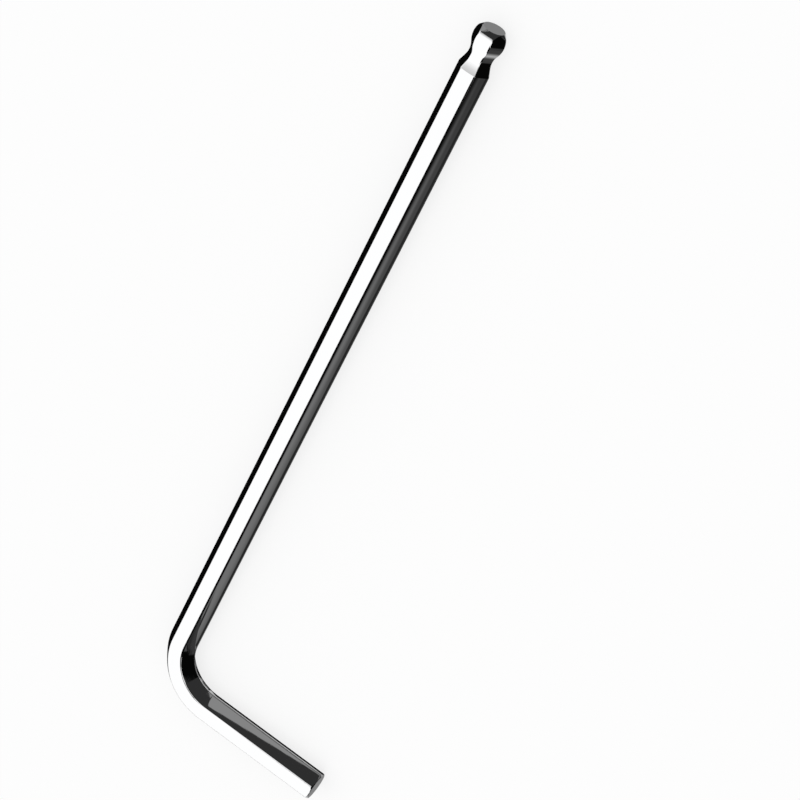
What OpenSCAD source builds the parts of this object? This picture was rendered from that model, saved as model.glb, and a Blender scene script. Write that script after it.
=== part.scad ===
// Long hex key with a ball end, in millimetres.
// One length of hexagonal steel bar, bent square. The short arm ends in a plain
// hexagon with a turned chamfer. The long arm ends in a ball: a neck and six
// curved faces are ground into the bar, and the tip is turned to a cone.
// The key lies on one flat of the bar, both arms level, the long arm along +X.

/* [Bar] */
// Width of the hexagonal bar across its flats, which is also the socket size
across_flats = 5; // [4:0.1:7]
// Radius on the six corners of the bar
corner_radius = 0.35; // [0.1:0.05:0.8]

/* [Arms] */
// Length of the long arm, from the outer corner of the short arm to the tip
long_length = 142.9; // [100:0.1:240]
// Length of the short arm, from the outer corner of the long arm to its end
short_length = 36.9; // [30:0.1:60]
// Radius of the bend, on the centre line of the bar
bend_radius = 9.7; // [6:0.1:16]

/* [Short end] */
// Depth of the turned chamfer on the end of the short arm, at the corners
end_chamfer = 0.35; // [0.2:0.05:1]

/* [Ball end] */
// Depth of the neck below the flats of the bar
neck_depth = 0.6; // [0.3:0.05:1]
// Radius of the neck, seen from the side
neck_radius = 3.4; // [2.5:0.05:6]
// Slope of the side of the neck that runs out to the bar
neck_slope = 17; // [12:1:30]
// Radius of the curved faces of the ball, seen from the side
ball_face_radius = 4; // [3.6:0.05:6]
// Distance from the widest point of the ball to the face at its tip
tip_reach = 2.1; // [1.5:0.05:2.6]
// Diameter of the flat face at the tip
tip_face_diameter = 3.7; // [2:0.05:4.5]
// Slope of the turned cone round the tip, from the axis of the arm
tip_cone_angle = 45; // [30:1:60]

/* [Hidden] */

// A hexagon has six sides, in three pairs, and its corners lie between flats
sides = 6;
flat_pairs = sides / 2;
side_angle = 360 / sides;
half_side_angle = side_angle / 2;

// Short flats that round one corner of the bar
corner_steps = 4;

// Fineness of the preview of round surfaces
round_steps = 180;

// Extra size of the cutting shapes beyond the metal that they cut
cutter_margin = 1;

// Corners of the bar: centre of the rounding, and half the width over corners
corner_centre = (across_flats / 2 - corner_radius) / cos(half_side_angle);
corner_reach = corner_centre + corner_radius;

// Stations along the long arm, from the point where the centre lines cross
tip_x = long_length - corner_reach;
ball_x = tip_x - tip_reach;

// The neck arc and the ball arc touch, so their centres are both radii apart
arc_sum = neck_radius + ball_face_radius;
neck_x = ball_x - sqrt(neck_depth * (2 * arc_sum - neck_depth));
blend_x = neck_x + (ball_x - neck_x) * neck_radius / arc_sum;

// The blank of the ball overlaps the bar, where the neck is deeper than both
blank_x = neck_x - neck_radius / 4;

// Heights of the arc centres above the axis of the arm
neck_centre_h = across_flats / 2 - neck_depth + neck_radius;
ball_centre_h = across_flats / 2 - ball_face_radius;

// Where the neck's sloping side leaves its arc, and its run out past the bar
slope_x = neck_x - neck_radius * sin(neck_slope);
slope_h = neck_centre_h - neck_radius * cos(neck_slope);
slope_rise = neck_radius + cutter_margin;
slope_run = slope_rise / tan(neck_slope);

// The ball's corners are sharp, so they reach a little past the bar's corners
ball_reach = across_flats / 2 / cos(half_side_angle);

// Round blank of the ball, wide enough to clear the corners of the ball
blank_radius = ball_reach + cutter_margin;
tip_radius = tip_face_diameter / 2;
tip_cone_run = (blank_radius - tip_radius) / tan(tip_cone_angle);

// The end of the short arm, and the start of a cone that is turned on it
short_end = short_length - corner_reach;
end_cone_run = end_chamfer + cutter_margin;

// Section of the bar: a hexagon with rounded corners and two level flats
module bar_section() {
    polygon([
        for (corner = [0 : sides - 1], step = [0 : corner_steps])
            let (
                toward = corner * side_angle,
                turned = toward + (step / corner_steps - 0.5) * side_angle
            )
            [
                corner_centre * cos(toward) + corner_radius * cos(turned),
                corner_centre * sin(toward) + corner_radius * sin(turned)
            ]
    ]);
}

// Straight bar along +X between two stations
module straight_bar(from_x, to_x) {
    translate([from_x, 0, 0])
        rotate([90, 0, 90])
            linear_extrude(height = to_x - from_x)
                bar_section();
}

// Quarter turn of bar that joins the two arms
module bend() {
    translate([bend_radius, -bend_radius, 0])
        rotate([0, 0, 90])
            rotate_extrude(angle = 90, $fn = round_steps)
                translate([bend_radius, 0])
                    bar_section();
}

// Short arm along -Y, its end turned to a flat face and a chamfer
module short_arm() {
    intersection() {
        translate([0, -bend_radius, 0])
            rotate([90, 0, 0])
                linear_extrude(height = short_end - bend_radius + cutter_margin)
                    bar_section();
        rotate([90, 0, 0])
            rotate_extrude($fn = round_steps)
                polygon([
                    [0, 0],
                    [corner_reach + cutter_margin, 0],
                    [corner_reach + cutter_margin, short_end - end_cone_run],
                    [corner_reach - end_chamfer, short_end],
                    [0, short_end]
                ]);
    }
}

// Side view of what is ground off for the neck: an arc with one sloping side
module neck_outline(side) {
    translate([neck_x, side * neck_centre_h])
        circle(r = neck_radius, $fn = round_steps);
    polygon([
        [neck_x, side * neck_centre_h],
        [slope_x, side * slope_h],
        [slope_x - slope_run, side * (slope_h + slope_rise)],
        [neck_x, side * (slope_h + slope_rise)]
    ]);
}

// Side view of two opposite faces of the long arm: the neck, then the ball
module face_pair_outline() {
    half_height = across_flats / 2 + cutter_margin;
    difference() {
        translate([0, -half_height])
            square([blend_x, 2 * half_height]);
        for (side = [-1, 1])
            neck_outline(side);
    }
    intersection() {
        translate([blend_x, -half_height])
            square([tip_x - blend_x + cutter_margin, 2 * half_height]);
        translate([ball_x, ball_centre_h])
            circle(r = ball_face_radius, $fn = round_steps);
        translate([ball_x, -ball_centre_h])
            circle(r = ball_face_radius, $fn = round_steps);
    }
}

// Two opposite faces of the long arm, as wide as the whole bar
module face_pair() {
    rotate([90, 0, 0])
        linear_extrude(height = 2 * blank_radius + cutter_margin, center = true)
            face_pair_outline();
}

// Round blank for the ball, turned to a cone and a flat face at the tip
module turned_blank() {
    rotate([0, 90, 0])
        rotate_extrude($fn = round_steps)
            polygon([
                [0, blank_x],
                [blank_radius, blank_x],
                [blank_radius, tip_x - tip_cone_run],
                [tip_radius, tip_x],
                [0, tip_x]
            ]);
}

// Long arm along +X: all three pairs of faces cut out of the bar and the blank
module long_arm() {
    intersection() {
        union() {
            straight_bar(bend_radius, neck_x);
            turned_blank();
        }
        intersection_for (pair = [0 : flat_pairs - 1])
            rotate([pair * side_angle, 0, 0])
                face_pair();
    }
}

// The whole key, resting on the ground with its middle above the origin
module hex_key() {
    color([0.78, 0.79, 0.81])
        translate([
            (corner_reach - tip_x) / 2,
            (short_end - ball_reach) / 2,
            across_flats / 2
        ])
            union() {
                short_arm();
                bend();
                long_arm();
            }
}

hex_key();
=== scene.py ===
import math

import bpy
from mathutils import Matrix, Vector


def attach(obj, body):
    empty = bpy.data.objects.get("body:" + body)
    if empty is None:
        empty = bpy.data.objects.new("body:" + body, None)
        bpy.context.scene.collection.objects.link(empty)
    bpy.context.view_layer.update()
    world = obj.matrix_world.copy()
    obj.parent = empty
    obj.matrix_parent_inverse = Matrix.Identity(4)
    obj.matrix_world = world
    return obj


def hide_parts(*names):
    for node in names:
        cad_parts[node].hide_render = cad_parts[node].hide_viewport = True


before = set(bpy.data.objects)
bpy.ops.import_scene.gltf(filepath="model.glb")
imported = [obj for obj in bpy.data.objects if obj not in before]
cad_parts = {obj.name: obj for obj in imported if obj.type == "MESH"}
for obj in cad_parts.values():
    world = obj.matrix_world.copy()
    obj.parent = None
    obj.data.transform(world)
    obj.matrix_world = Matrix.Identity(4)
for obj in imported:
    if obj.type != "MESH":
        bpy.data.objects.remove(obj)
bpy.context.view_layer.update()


# The hex key: one length of hexagonal tool-steel bar, drawn to size, bent square and
# given a bright nickel-chrome plate. Its short end is turned flat with a chamfer. Its
# long end is ground to a neck and a six-sided ball, and turned to a cone at the tip.
ACROSS_FLATS = 0.005
CORNER_RADIUS = 0.00035
POLISHED_RADIUS = 0.00042  # the corners after polish and plate, a little softer
FLAT_CROWN = 0.000011  # the drawn flats are this much higher in the middle
LONG_LENGTH = 0.1429  # from the outer corner of the short arm to the tip
SHORT_LENGTH = 0.0369  # from the outer corner of the long arm to its end
BEND_RADIUS = 0.0097  # on the centre line
BEND_EASE = 0.0005  # the bend starts and ends gently, over this much on each side
END_CHAMFER = 0.00035
NECK_DEPTH = 0.0006
NECK_RADIUS = 0.0034
NECK_SLOPE = 17  # degrees, the mean on the neck's long side towards the bar
SLOPE_CURVE = 1.7  # degrees less where it leaves the arc, and more at the bar
BALL_FACE_RADIUS = 0.004
TIP_REACH = 0.0021  # from the widest point of the ball to the face at its tip
TIP_FACE_DIAMETER = 0.0037
GROUND_EDGE = 0.0003  # radius on the edges between the ground faces

SIDES = 6
SIDE_ANGLE = math.radians(60)
HALF_SIDE_ANGLE = math.radians(30)
ARC_STEPS = 8  # facets on half a rounded corner
FLAT_STEPS = 5  # strips on half a flat
FLAT_GRADING = 1.7  # above 1, the strips get narrower towards the corner
BEND_STEPS = 80  # spaces between the rings round the bend
BEND_MARGIN = 0.0004  # from the bend to the nearest ring on the straights
EASE_SAMPLES = 16  # points of a sharp bend whose mean is one point of the eased one
GROUND_STEP = 0.00003  # spacing of the rings where the bar is turned or ground
TURNED_LENGTH = 2.4 * END_CHAMFER  # length of the short end that has such rings
SHOULDER_STEPS = 5  # spaces of such rings before the neck's shoulder
ROOT_SHARE = 0.9  # grinding starts this many neck radii before the neck's middle
CREASE = math.radians(20)  # edges sharper than this are shown crisp

bend_length = BEND_RADIUS * math.pi / 2
corner_centre = (ACROSS_FLATS / 2 - CORNER_RADIUS) / math.cos(HALF_SIDE_ANGLE)
corner_reach = corner_centre + CORNER_RADIUS
ball_reach = ACROSS_FLATS / 2 / math.cos(HALF_SIDE_ANGLE)
tip_x = LONG_LENGTH - corner_reach
short_end = SHORT_LENGTH - corner_reach
ball_x = tip_x - TIP_REACH
arc_sum = NECK_RADIUS + BALL_FACE_RADIUS
neck_x = ball_x - math.sqrt(NECK_DEPTH * (2 * arc_sum - NECK_DEPTH))
first_slope = math.radians(NECK_SLOPE - SLOPE_CURVE)
last_slope = math.radians(NECK_SLOPE + SLOPE_CURVE)
slope_depth = NECK_DEPTH - NECK_RADIUS * (1 - math.cos(first_slope))
slope_run = 2 * slope_depth / (math.tan(first_slope) + math.tan(last_slope))
slope_gain = (math.tan(last_slope) - math.tan(first_slope)) / (2 * slope_run)
shoulder_x = neck_x - NECK_RADIUS * math.sin(first_slope) - slope_run
middle = ((corner_reach - tip_x) / 2, (short_end - ball_reach) / 2, ACROSS_FLATS / 2)


def sharp_bend(run):
    """A point of a centre line with a plain arc, by its distance from the arc's start."""
    turn = min(max(run / BEND_RADIUS, 0), math.pi / 2)
    past = max(run - bend_length, 0)
    return Vector((
        BEND_RADIUS * (1 - math.cos(turn)) + past,
        BEND_RADIUS * (math.sin(turn) - 1) + min(run, 0),
        0,
    ))


def centre_line():
    """Points along the middle of the bar, from the short end to the tip."""
    turned_start = short_end - TURNED_LENGTH
    rings = round((short_end - turned_start) / GROUND_STEP)
    points = [(0, -short_end + i * GROUND_STEP, 0) for i in range(rings)]
    points.append((0, -turned_start, 0))
    points.append((0, -BEND_RADIUS - BEND_EASE - BEND_MARGIN, 0))
    shifts = [
        BEND_EASE * (2 * i + 1 - EASE_SAMPLES) / EASE_SAMPLES for i in range(EASE_SAMPLES)
    ]
    for i in range(BEND_STEPS + 1):
        run = -BEND_EASE + (bend_length + 2 * BEND_EASE) * i / BEND_STEPS
        near = [sharp_bend(run + shift) for shift in shifts]
        points.append(tuple(sum(near, Vector()) / len(near)))
    points.append((BEND_RADIUS + BEND_EASE + BEND_MARGIN, 0, 0))
    first = shoulder_x - SHOULDER_STEPS * GROUND_STEP
    rings = round((tip_x - first) / GROUND_STEP)
    points += [(first + (tip_x - first) * i / rings, 0, 0) for i in range(rings + 1)]
    return points


def curve_object(name, points):
    data = bpy.data.curves.new(name, "CURVE")
    data.dimensions = "3D"
    spline = data.splines.new("POLY")
    spline.points.add(len(points) - 1)
    for place, point in zip(spline.points, points):
        place.co = (*point, 1)
    made = bpy.data.objects.new(name, data)
    bpy.context.scene.collection.objects.link(made)
    return made


class Term:
    """An output in a node tree, so that a plain sum of terms makes its Math nodes."""

    def __init__(self, wiring, socket):
        self.wiring = wiring
        self.socket = socket

    def __add__(self, other):
        return self.wiring.math("ADD", self, other)

    def __sub__(self, other):
        return self.wiring.math("SUBTRACT", self, other)

    def __rsub__(self, other):
        return self.wiring.math("SUBTRACT", other, self)

    def __mul__(self, other):
        return self.wiring.math("MULTIPLY", self, other)

    def __truediv__(self, other):
        return self.wiring.math("DIVIDE", self, other)

    def __pow__(self, other):
        return self.wiring.math("POWER", self, other)

    __radd__ = __add__
    __rmul__ = __mul__


class Wiring:
    """A node tree, with short calls for its nodes and links."""

    def __init__(self, tree):
        self.tree = tree

    def node(self, kind, inputs=None, **settings):
        made = self.tree.nodes.new(kind)
        for key, value in settings.items():
            setattr(made, key, value)
        for key, value in (inputs or {}).items():
            self.feed(made.inputs[key], value)
        return made

    def feed(self, socket, value):
        if isinstance(value, Term):
            self.tree.links.new(value.socket, socket)
        else:
            socket.default_value = value

    def term(self, kind, inputs=None, output=0, **settings):
        """One output of a new node."""
        return Term(self, self.node(kind, inputs, **settings).outputs[output])

    def terms(self, node):
        """All outputs of a node, by name."""
        return {socket.name: Term(self, socket) for socket in node.outputs}

    def math(self, operation, *values):
        return self.term("ShaderNodeMath", dict(enumerate(values)), operation=operation)

    def point(self, x, y, z):
        return self.term("ShaderNodeCombineXYZ", {0: x, 1: y, 2: z})

    def parts(self, point):
        made = self.node("ShaderNodeSeparateXYZ", {0: point})
        return [Term(self, socket) for socket in made.outputs]

    def hypotenuse(self, a, b):
        return self.math("SQRT", a * a + b * b)

    def above(self, value, limit):
        return self.term("FunctionNodeCompare", {"A": value, "B": limit},
                         data_type="FLOAT", operation="GREATER_THAN")

    def choose(self, test, no, yes):
        return self.term("GeometryNodeSwitch", {"Switch": test, "False": no, "True": yes},
                         input_type="FLOAT")


def key_tree():
    """Sweeps the hexagon along the centre line, then turns and grinds both ends."""
    tree = bpy.data.node_groups.new("hex_key_from_bar", "GeometryNodeTree")
    face = tree.interface
    face.new_socket("Centre Line", in_out="INPUT", socket_type="NodeSocketGeometry")
    for name in (
        "Across Flats", "Corner Radius", "Flat Crown", "Corner Reach", "Short End",
        "End Chamfer", "Neck Station", "Neck Depth", "Neck Radius", "Neck Slope",
        "Slope Gain", "Ball Station", "Ball Face Radius", "Tip Station",
        "Tip Face Diameter", "Ground Edge",
    ):
        face.new_socket(name, in_out="INPUT", socket_type="NodeSocketFloat")
    face.new_socket("Arc Steps", in_out="INPUT", socket_type="NodeSocketInt")
    face.new_socket("Flat Steps", in_out="INPUT", socket_type="NodeSocketInt")
    face.new_socket("Middle", in_out="INPUT", socket_type="NodeSocketVector")
    face.new_socket("Finish", in_out="INPUT", socket_type="NodeSocketMaterial")
    face.new_socket("Key", in_out="OUTPUT", socket_type="NodeSocketGeometry")
    w = Wiring(tree)
    m = w.math
    given = w.terms(w.node("NodeGroupInput"))
    half_flat = given["Across Flats"] * 0.5
    cos30, sin30, tan30 = (f(HALF_SIDE_ANGLE) for f in (math.cos, math.sin, math.tan))

    # The section, one point after another: an arc on each corner, a flat between two
    per_corner = (given["Arc Steps"] + given["Flat Steps"]) * 2
    ring = w.term("GeometryNodeCurvePrimitiveCircle", {
        "Resolution": per_corner * SIDES, "Radius": half_flat,
    })
    number = w.term("GeometryNodeInputIndex")
    corner = m("FLOOR", (number + 0.5) / per_corner)
    step = number - corner * per_corner - per_corner * 0.5
    side = m("SIGN", step)
    reach = m("MINIMUM", m("ABSOLUTE", step), given["Arc Steps"])
    lean = side * (reach / given["Arc Steps"]) * HALF_SIDE_ANGLE
    beyond = ((m("ABSOLUTE", step) - reach) / given["Flat Steps"]) ** FLAT_GRADING
    arc_height = half_flat - given["Corner Radius"]
    run = beyond * (arc_height * tan30)
    fall = given["Flat Crown"] / cos30 * (1.0 - beyond) ** 2.0
    along_x = (arc_height / cos30 + given["Corner Radius"] * m("COSINE", lean)
               - (run * sin30 + fall))
    along_y = given["Corner Radius"] * m("SINE", lean) + side * run * cos30
    turned = w.term("ShaderNodeVectorRotate", {
        "Vector": w.point(along_x, along_y, 0.0), "Angle": corner * SIDE_ANGLE,
    }, rotation_type="Z_AXIS")
    hexagon = w.term("GeometryNodeSetPosition", {"Geometry": ring, "Position": turned})
    section = w.node("GeometryNodeCaptureAttribute", {"Geometry": hexagon})
    section.capture_items.new("VECTOR", "Place")
    w.feed(section.inputs["Place"], turned)
    section = w.terms(section)

    # The bar: the section swept along the centre line, its corners in the bend's plane
    level = w.term("GeometryNodeSetCurveNormal", {"Curve": given["Centre Line"]},
                   mode="Z_UP")
    path = w.node("GeometryNodeCaptureAttribute", {"Geometry": level})
    path.capture_items.new("FLOAT", "Length")
    w.feed(path.inputs["Length"], w.term("GeometryNodeSplineParameter", output="Length"))
    path = w.terms(path)
    bar = w.term("GeometryNodeCurveToMesh", {
        "Curve": path["Geometry"], "Profile Curve": section["Geometry"],
        "Fill Caps": True,
    })
    out, up, _ = w.parts(section["Place"])
    bar = w.term("GeometryNodeStoreNamedAttribute", {
        "Geometry": bar, "Name": "straight_bar",
        "Value": w.point(path["Length"], out, up),
    }, data_type="FLOAT_VECTOR", domain="POINT")

    # The short end, turned: a cone that comes in by the chamfer at the end face
    x, y, z = w.parts(w.term("GeometryNodeInputPosition"))
    radius = w.hypotenuse(x, z)
    left = given["Short End"] + y
    cone = given["Corner Reach"] - given["End Chamfer"] + left
    keep = m("MINIMUM", cone / radius, 1.0)
    bar = w.term("GeometryNodeSetPosition", {
        "Geometry": bar, "Position": w.point(x * keep, y, z * keep),
        "Selection": w.above(given["End Chamfer"] * 2, left),
    })

    # The ball end, ground: six faces with a neck arc, a slope that runs out of it to
    # the bar and a ball arc
    x, y, z = w.parts(w.term("GeometryNodeInputPosition"))
    radius = w.hypotenuse(y, z)
    past_neck = x - given["Neck Station"]
    past_ball = x - given["Ball Station"]
    arc_end = given["Neck Radius"] * m("SINE", given["Neck Slope"])
    on_arc = m("MAXIMUM", past_neck, arc_end * -1.0)
    past_arc = on_arc - past_neck
    neck_height = (
        half_flat - given["Neck Depth"] + given["Neck Radius"]
        - m("SQRT", given["Neck Radius"] * given["Neck Radius"] - on_arc * on_arc)
        + past_arc * (m("TANGENT", given["Neck Slope"]) + given["Slope Gain"] * past_arc)
    )
    ball_height = half_flat - given["Ball Face Radius"] + m(
        "SQRT", given["Ball Face Radius"] * given["Ball Face Radius"]
        - past_ball * past_ball
    )
    share = given["Neck Radius"] / (given["Neck Radius"] + given["Ball Face Radius"])
    blend = (given["Neck Station"]
             + share * (given["Ball Station"] - given["Neck Station"]))
    height = w.choose(w.above(x, blend), neck_height, ball_height)

    # Round the bar, each face is flat up to a small radius on the edge to the next
    to_face = m("WRAP", m("ARCTAN2", z, y), SIDE_ANGLE, 0.0) - HALF_SIDE_ANGLE
    lean = m("ABSOLUTE", to_face)
    from_edge = HALF_SIDE_ANGLE - lean
    inner = height - given["Ground Edge"]
    centre = inner / cos30
    aside = centre * m("SINE", from_edge)
    bulge = given["Ground Edge"] * given["Ground Edge"] - aside * aside
    edge = centre * m("COSINE", from_edge) + m("SQRT", m("MAXIMUM", bulge, 0.0))
    on_edge = w.above(height * m("TANGENT", lean), inner * tan30)
    ground = w.choose(on_edge, height / m("COSINE", lean), edge)

    # The tip, turned: a cone that ends in a flat face
    cone = given["Tip Face Diameter"] * 0.5 + (given["Tip Station"] - x)
    blank = w.choose(w.above(x, given["Neck Station"]), radius, cone)
    scale = m("MINIMUM", ground, blank) / radius
    root = given["Neck Station"] - given["Neck Radius"] * ROOT_SHARE
    bar = w.term("GeometryNodeSetPosition", {
        "Geometry": bar, "Position": w.point(x, y * scale, z * scale),
        "Selection": w.above(x, root),
    })

    # Cut edges stay crisp, and the key moves to where it lies
    crease = w.term("GeometryNodeInputMeshEdgeAngle", output="Unsigned Angle")
    bar = w.term("GeometryNodeSetShadeSmooth", {
        "Geometry": bar, "Selection": w.above(crease, CREASE), "Shade Smooth": False,
    }, domain="EDGE")
    bar = w.term("GeometryNodeTransform", {
        "Geometry": bar, "Translation": given["Middle"],
    })
    bar = w.term("GeometryNodeRealizeInstances", {"Geometry": bar})
    bar = w.term("GeometryNodeSetMaterial", {
        "Geometry": bar, "Material": given["Finish"],
    })
    w.node("NodeGroupOutput", {"Key": bar})
    return tree


# The plate's marks: how fine they are along and across the bar, and how high
DRAWN_FINENESS = (60.0, 3600.0)
DRAWN_HEIGHT = 4e-7
BENT_HEIGHT = 8e-6  # how much higher the drawn lines stand in the bend
BENT_FADE = 0.004  # and how far into the bend they rise to that
GRINDING_FINENESS = (4200.0, 220.0)
GRINDING_HEIGHT = 9e-7
GRINDING_FADE = 0.0003  # from the neck's shoulder to where they are that high
TURNED_PITCH = 0.0004  # from one turned ring on an end face to the next
TURNED_HEIGHT = 1.6e-6
FACE_DEPTH = 1e-6  # this close to the end of the bar, it is the end face
HANDLED_FINENESS = 90.0
# How rough the plate is, and how much rougher the marks make it
PLATE_ROUGHNESS = 0.004
DRAWN_ROUGHNESS = 0.05
HANDLED_ROUGHNESS = 0.012
GRINDING_ROUGHNESS = 0.015
PLATE_TINTS = ((0.905, 0.907, 0.915, 1), (0.935, 0.938, 0.940, 1))


def bright_plate(bar_length):
    """Bright nickel-chrome plate over steel that was drawn, bent, ground and turned."""
    finish = bpy.data.materials.new("bright_plate")
    finish.use_nodes = True
    w = Wiring(finish.node_tree)
    m = w.math
    shader = finish.node_tree.nodes["Principled BSDF"]
    shader.inputs["Metallic"].default_value = 1.0
    length, out, up = w.parts(
        w.term("ShaderNodeAttribute", output="Vector", attribute_name="straight_bar")
    )

    def marks(fineness, detail, roughness):
        along, across = fineness
        return w.term("ShaderNodeTexNoise", {
            "Vector": w.point(length * along, out * across, up * across),
            "Scale": 1.0, "Detail": detail, "Roughness": roughness,
        })

    # Drawn lines run along the bar; they are finest on the straights and coarser
    # where the bar was bent round its former
    lines = marks(DRAWN_FINENESS, 3.0, 0.6)
    bend_middle = short_end - BEND_RADIUS + bend_length / 2
    bent = w.term("ShaderNodeMapRange", {
        "Value": m("ABSOLUTE", length - bend_middle),
        "From Min": bend_length / 2, "From Max": bend_length / 2 - BENT_FADE,
    }, interpolation_type="SMOOTHSTEP")
    drawn = lines * (DRAWN_HEIGHT + bent * BENT_HEIGHT)

    # The ball end was ground across its faces, and both end faces were turned
    ground_start = bar_length - (tip_x - shoulder_x)
    ball_side = w.term("ShaderNodeMapRange", {
        "Value": length, "From Min": ground_start,
        "From Max": ground_start + GRINDING_FADE,
    })
    ground = marks(GRINDING_FINENESS, 2.0, 0.55) * ball_side * GRINDING_HEIGHT
    place = w.term("ShaderNodeTexCoord", output="Object")
    x, y, z = w.parts(place)
    beside = z - middle[2]
    turned = 0.0
    for across, centre, here in (
        (y, middle[1], m("GREATER_THAN", length, bar_length - FACE_DEPTH)),
        (x, middle[0], m("LESS_THAN", length, FACE_DEPTH)),
    ):
        radius = w.hypotenuse(across - centre, beside)
        rings = m("SINE", radius * (2 * math.pi / TURNED_PITCH))
        turned = turned + rings * here * TURNED_HEIGHT
    relief = w.term("ShaderNodeBump", {
        "Strength": 1.0, "Distance": 1.0, "Height": drawn + (ground + turned),
    })
    w.feed(shader.inputs["Normal"], relief)

    # The plate is a little duller along the lines, in handled patches and where it
    # was ground
    handled = w.term("ShaderNodeTexNoise", {
        "Vector": place, "Scale": HANDLED_FINENESS, "Detail": 4.0, "Roughness": 0.55,
    })
    dull = (lines ** 3.0 * DRAWN_ROUGHNESS + handled * HANDLED_ROUGHNESS
            + ball_side * GRINDING_ROUGHNESS)
    w.feed(shader.inputs["Roughness"], dull + PLATE_ROUGHNESS)
    tint = w.term("ShaderNodeMix", {
        0: handled * 0.5 + lines * 0.5, 6: PLATE_TINTS[0], 7: PLATE_TINTS[1],
    }, output=2, data_type="RGBA")
    w.feed(shader.inputs["Base Color"], tint)
    return finish


bar_line = centre_line()
bar_length = sum(math.dist(a, b) for a, b in zip(bar_line, bar_line[1:]))
tree = key_tree()
bar = curve_object("bar", bar_line)
sweep = bar.modifiers.new("shape", "NODES")
sweep.node_group = tree
sizes = {
    "Across Flats": ACROSS_FLATS,
    "Corner Radius": POLISHED_RADIUS,
    "Flat Crown": FLAT_CROWN,
    "Corner Reach": corner_reach,
    "Short End": short_end,
    "End Chamfer": END_CHAMFER,
    "Neck Station": neck_x,
    "Neck Depth": NECK_DEPTH,
    "Neck Radius": NECK_RADIUS,
    "Neck Slope": first_slope,
    "Slope Gain": slope_gain,
    "Ball Station": ball_x,
    "Ball Face Radius": BALL_FACE_RADIUS,
    "Tip Station": tip_x,
    "Tip Face Diameter": TIP_FACE_DIAMETER,
    "Ground Edge": GROUND_EDGE,
    "Arc Steps": ARC_STEPS,
    "Flat Steps": FLAT_STEPS,
    "Middle": middle,
    "Finish": bright_plate(bar_length),
}
for socket in tree.interface.items_tree:
    if socket.in_out == "INPUT" and socket.name in sizes:
        sweep[socket.identifier] = sizes[socket.name]
bpy.context.view_layer.update()
depsgraph = bpy.context.evaluated_depsgraph_get()
mesh = bpy.data.meshes.new_from_object(bar.evaluated_get(depsgraph), depsgraph=depsgraph)
key = bpy.data.objects.new("polished_key", mesh)
bpy.context.scene.collection.objects.link(key)
bpy.data.objects.remove(bar)
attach(key, "root")
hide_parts("hex_key")


# The bench: a plain pale board under the key, painted matt white. The camera sees
# most of it as plain white, and the rest takes the key's soft shadow. The metal
# doesn't mirror the board, because the studio's screens stand for what lies there.
BENCH_REACH = 2  # from the middle of the board to its edges
BENCH_PAINT = (0.975, 0.975, 0.975, 1)
BENCH_WHITE = (0.985, 0.985, 0.985, 1)
WHITE_SHARE = 0.8  # how much of what the camera sees is plain white

board = bpy.data.meshes.new("bench")
corners = [(x * BENCH_REACH, y * BENCH_REACH, 0)
           for x, y in ((-1, -1), (1, -1), (1, 1), (-1, 1))]
board.from_pydata(corners, [], [(0, 1, 2, 3)])
bench = bpy.data.objects.new("bench", board)
bpy.context.scene.collection.objects.link(bench)
paint = bpy.data.materials.new("pale_board")
paint.use_nodes = True
w = Wiring(paint.node_tree)
surface = paint.node_tree.nodes["Principled BSDF"]
surface.inputs["Base Color"].default_value = BENCH_PAINT
surface.inputs["Roughness"].default_value = 1.0
surface.inputs["Specular IOR Level"].default_value = 0.0
plain = w.term("ShaderNodeEmission", {"Color": BENCH_WHITE, "Strength": 1.0})
share = w.term("ShaderNodeLightPath", output="Is Camera Ray") * WHITE_SHARE
seen = w.term("ShaderNodeMixShader", {0: share, 1: Term(w, surface.outputs[0]), 2: plain})
w.feed(paint.node_tree.nodes["Material Output"].inputs["Surface"], seen)
board.materials.append(paint)
bench.visible_glossy = False


# The studio: soft white light from all round, a white overhead softbox, and the dark
# flags and grey screens that bright metal needs round it to show its form. Only what
# is mirrored sees them: the background and the light on the bench stay plain white.
SOFTBOX = 1.08  # strength of the white that the metal mirrors, where 1 is white
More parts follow.
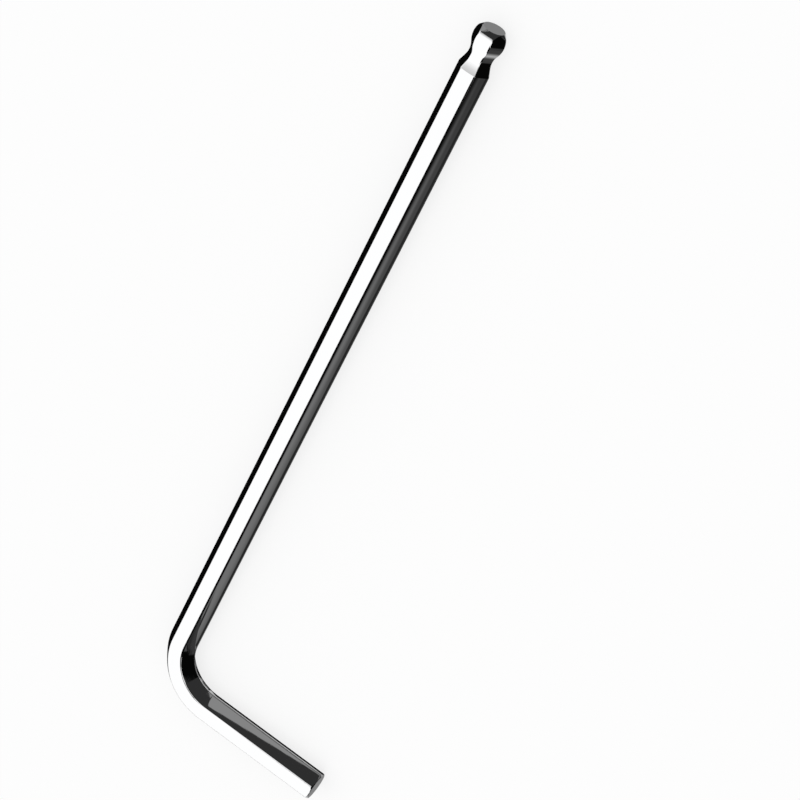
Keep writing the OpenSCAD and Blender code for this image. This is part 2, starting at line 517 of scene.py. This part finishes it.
# Each screen: azimuth and elevation of its middle, half its width and height, how
# soft its upright and its level edges are, all in degrees, its lean, and its strength.
# A later screen stands in front of the earlier ones.
SCREENS = {
    "bench top": (0, -50, 181, 42, 1, 8, 0, 0.3),
    "dark in front of the bench": (-25, -40, 50, 28, 10, 6, 0, 0.02),
    "grey patch in it": (33, -64, 14, 8, 5, 4, 0, 0.225),
    "bench under the key": (0, -90, 181, 23, 1, 3, 0, 0.55),
    "dark behind the long arm": (113, -14, 37, 66, 8, 5, -0.2, 0.002),
    "low dark behind the bend": (158, -38.1, 22, 30.6, 6, 1.5, 0, 0.002),
    "light line under the short arm": (150, -70.8, 5, 3.1, 4, 1.2, -0.17, 0.5),
    "dark line under the bend": (164, -66, 7, 5.6, 3, 1, 0, 0.002),
    "high black flag": (198, 60.6, 42, 30, 3, 2, -0.8, 0.002),
    "black flag beside the bend": (-127, 14, 24, 23.5, 8, 2.5, 0, 0.004),
    "dark wall under it": (-126, -42, 24, 30, 8, 3, 0, 0.046),
    "light wall beyond the bend": (-170, -34, 27, 13, 30, 5, 0, 0.62),
    "grey patch under it": (-175, -52, 16, 7, 6, 6, 0, 0.24),
    "dark band": (-116, -8.8, 30, 3.4, 8, 1.6, -0.19, 0.012),
    "grey band": (-134, -8.8, 12, 3.0, 19, 1.6, -0.19, 0.125),
    "light middle of the band": (-134, -9.4, 9, 1.3, 8, 1.5, -0.19, 0.17),
    "long dark line": (-121, -14.2, 14, 0.42, 6, 0.3, -0.138, 0.02),
    "short dark line": (-128.4, -11.2, 1.3, 0.25, 0.8, 0.25, 0.6, 0.02),
    "black flag beside the short arm": (-79, 15, 32, 41, 12, 8, 0, 0.002),
    "dark wall under that": (-84, -33, 24, 14, 3, 6, 0, 0.042),
    "shade at the start of the bend": (-80.5, -14, 3, 18, 3, 14, -2.6, 0.002),
    "dark room in front": (-17, 30, 49, 44, 8, 5, 0, 0.029),
    "light over the neck": (40, 71, 17, 9, 22, 5, 0, 0.62),
    "dark over the tip": (32, 60, 11, 13, 5, 4, 0, 0.029),
    "low black flag": (-79, -2, 29, 12, 1, 4, 0, 0.002),
    "grey patch in the room": (-62, 27, 7, 6, 3, 4, 0, 0.075),
    "grey wedge on the short arm": (25, 23.39, 19.5, 4.0, 0.3, 0.1, 1.2, 0.25),
    "low grey wall in front": (10, -12, 14, 16, 3, 4, 0, 0.17),
    "end of the wedge at the bend": (0.3, 1.4, 7.2, 6.6, 1, 0.8, 0.05, 0.25),
    "grey wall beyond the ball": (38, 25, 9, 25, 5, 10, 0, 0.18),
    "light wall beyond the ball": (53, -6, 14, 19, 4, 6, 0, 0.27),
}


def screen_group():
    """One flag or screen of the studio, mixed over what is behind it."""
    group = bpy.data.node_groups.new("studio_screen", "ShaderNodeTree")
    for name in (
        "Behind", "Azimuth", "Elevation", "Middle Azimuth", "Middle Elevation",
        "Half Width", "Half Height", "Side Softness", "Level Softness", "Lean",
        "Strength",
    ):
        group.interface.new_socket(name, in_out="INPUT", socket_type="NodeSocketFloat")
    group.interface.new_socket("Seen", in_out="OUTPUT", socket_type="NodeSocketFloat")
    w = Wiring(group)
    given = w.terms(w.node("NodeGroupInput"))
    aside = w.math("WRAP", given["Azimuth"] - given["Middle Azimuth"], 180.0, -180.0)
    above = given["Elevation"] - given["Middle Elevation"] - aside * given["Lean"]

    def inside(off, half, softness):
        depth = (half - w.math("ABSOLUTE", off)) / softness
        return w.term("ShaderNodeMapRange", {
            "Value": depth, "From Min": -0.5, "From Max": 0.5,
        }, interpolation_type="SMOOTHSTEP")

    share = (inside(aside, given["Half Width"], given["Side Softness"])
             * inside(above, given["Half Height"], given["Level Softness"]))
    mixed = w.term("ShaderNodeMix", {0: share, 2: given["Behind"], 3: given["Strength"]})
    w.node("NodeGroupOutput", {"Seen": mixed})
    return group


world = bpy.data.worlds.new("studio")
bpy.context.scene.world = world
world.use_nodes = True
world.cycles.sampling_method = "NONE"  # bounced rays alone find the studio's light
w = Wiring(world.node_tree)
x, y, z = w.parts(w.term("ShaderNodeTexCoord", output="Generated"))
azimuth = w.math("DEGREES", w.math("ARCTAN2", y, x))
elevation = w.math("DEGREES", w.math("ARCSINE", z))
group = screen_group()
seen = SOFTBOX
for name, settings in SCREENS.items():
    inputs = dict(enumerate((seen, azimuth, elevation, *settings)))
    seen = w.term("ShaderNodeGroup", inputs, node_tree=group, label=name)
ray = w.terms(w.node("ShaderNodeLightPath"))
mirrored = w.math("MAXIMUM", ray["Is Glossy Ray"], ray["Is Transmission Ray"])
strength = w.term("ShaderNodeMix", {0: mirrored, 2: 1.0, 3: seen})
backdrop = world.node_tree.nodes["Background"]
backdrop.inputs["Color"].default_value = (1, 1, 1, 1)
w.feed(backdrop.inputs["Strength"], strength)


# The camera: a long lens that looks down on the key from the ball's end. Its right,
# up and back are directions of the scene.
FOCAL_PIXELS = 2500
PHOTO_PIXELS = 800
SENSOR = 36
CAMERA_PLACE = (0.215629, -0.080048, 0.347841)
CAMERA_RIGHT = (0.40561, -0.80448, -0.43393)
CAMERA_UP = (0.76117, 0.56012, -0.32693)
CAMERA_BACK = (0.50606, -0.19769, 0.83954)

camera = bpy.data.objects.new("camera", bpy.data.cameras.new("camera"))
bpy.context.scene.collection.objects.link(camera)
camera.data.sensor_width = SENSOR
camera.data.lens = SENSOR * FOCAL_PIXELS / PHOTO_PIXELS
camera.data.clip_start = 0.01
turned = Matrix((CAMERA_RIGHT, CAMERA_UP, CAMERA_BACK)).transposed().to_4x4()
camera.matrix_world = Matrix.Translation(CAMERA_PLACE) @ turned
bpy.context.scene.camera = camera

bpy.context.scene.view_settings.view_transform = "Standard"
